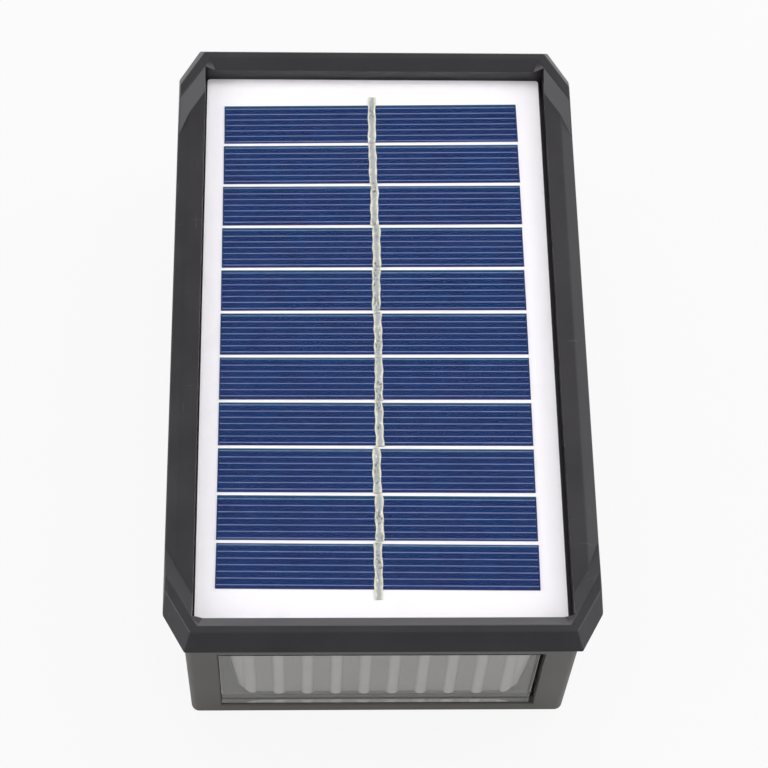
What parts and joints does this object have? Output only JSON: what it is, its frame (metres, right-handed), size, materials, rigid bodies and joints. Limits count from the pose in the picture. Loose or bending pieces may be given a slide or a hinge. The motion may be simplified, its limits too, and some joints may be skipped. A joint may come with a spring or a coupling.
{
  "type": "solar fence light",
  "caption": "Box-shaped solar fence light: blue cell panel in a black lid with cut corners, ribbed light window in one end, keyholes and push button in its flat back.",
  "frame": {"origin": "centre of the flat back, which is also the centre of the bounding box's bottom face", "axes": "+Z out of the solar panel, away from the fence; -Y towards the end with the light window; +X to the right with the window end nearest the viewer"},
  "size_m": [0.1048, 0.1726, 0.0591],
  "materials": {
    "black_abs": "fine moulded texture",
    "housing_abs": "fine moulded texture",
    "white_board": "satin",
    "solar_cell": "blue crystalline with pale finger lines",
    "tinned_copper": "dull tin",
    "clear_resin": "clear satin laminate",
    "foam_tape": "matt foam",
    "silicone": "matt",
    "clear_lens": "clear polished",
    "mask_plastic": "matt",
    "frosted_plastic": "frosted",
    "white_reflector": "glossy white",
    "led_board_white": "white solder mask",
    "led": "phosphor in a white body",
    "green_board": "green solder mask",
    "component_black": "matt moulded",
    "ferrite": "matt ferrite",
    "connector_nylon": "natural nylon",
    "button_rubber": "matt",
    "screw_steel": "zinc plated",
    "battery_sleeve": "shrink sleeve",
    "nickel": "nickel plated",
    "lead_red": "insulation",
    "lead_black": "insulation"
  },
  "bodies": {
    "lamp": {"top_frame": "black_abs", "lid_gasket": "silicone", "panel_tape": "foam_tape", "panel_board": "white_board", "solar_cells": "solar_cell", "cell_ribbons": "tinned_copper", "panel_cover": "clear_resin", "housing": "housing_abs", "front_lens": "clear_lens", "lens_seal": "silicone", "light_mask": "mask_plastic", "diffuser": "frosted_plastic", "reflector": "white_reflector", "reflector_screws": "screw_steel", "led_board": "led_board_white", "led_chips": "led", "led_board_screws": "screw_steel", "housing_screws": "screw_steel", "control_board_screws": "screw_steel", "battery_holder_screws": "screw_steel", "push_switch": "component_black", "button_seal": "silicone", "control_board": "green_board", "lead_connectors": "connector_nylon", "charge_chip": "component_black", "inductor": "ferrite", "capacitor": "component_black", "battery_holder": "component_black", "battery_cell": "battery_sleeve", "battery_contact": "nickel", "battery_spring": "nickel", "panel_lead_red": "lead_red", "panel_lead_black": "lead_black", "battery_lead_red": "lead_red", "battery_lead_black": "lead_black", "led_lead_red": "lead_red", "led_lead_black": "lead_black"},
    "button": {"push_button": "button_rubber", "switch_plunger": "component_black"}
  },
  "joints": [
    {"name": "button_press", "type": "slide", "parent": "lamp", "child": "button", "axis": [0, 0, 1], "range_m": [0, 0.001], "stiffness_N_per_m": 800, "springref_m": -0.001}
  ]
}
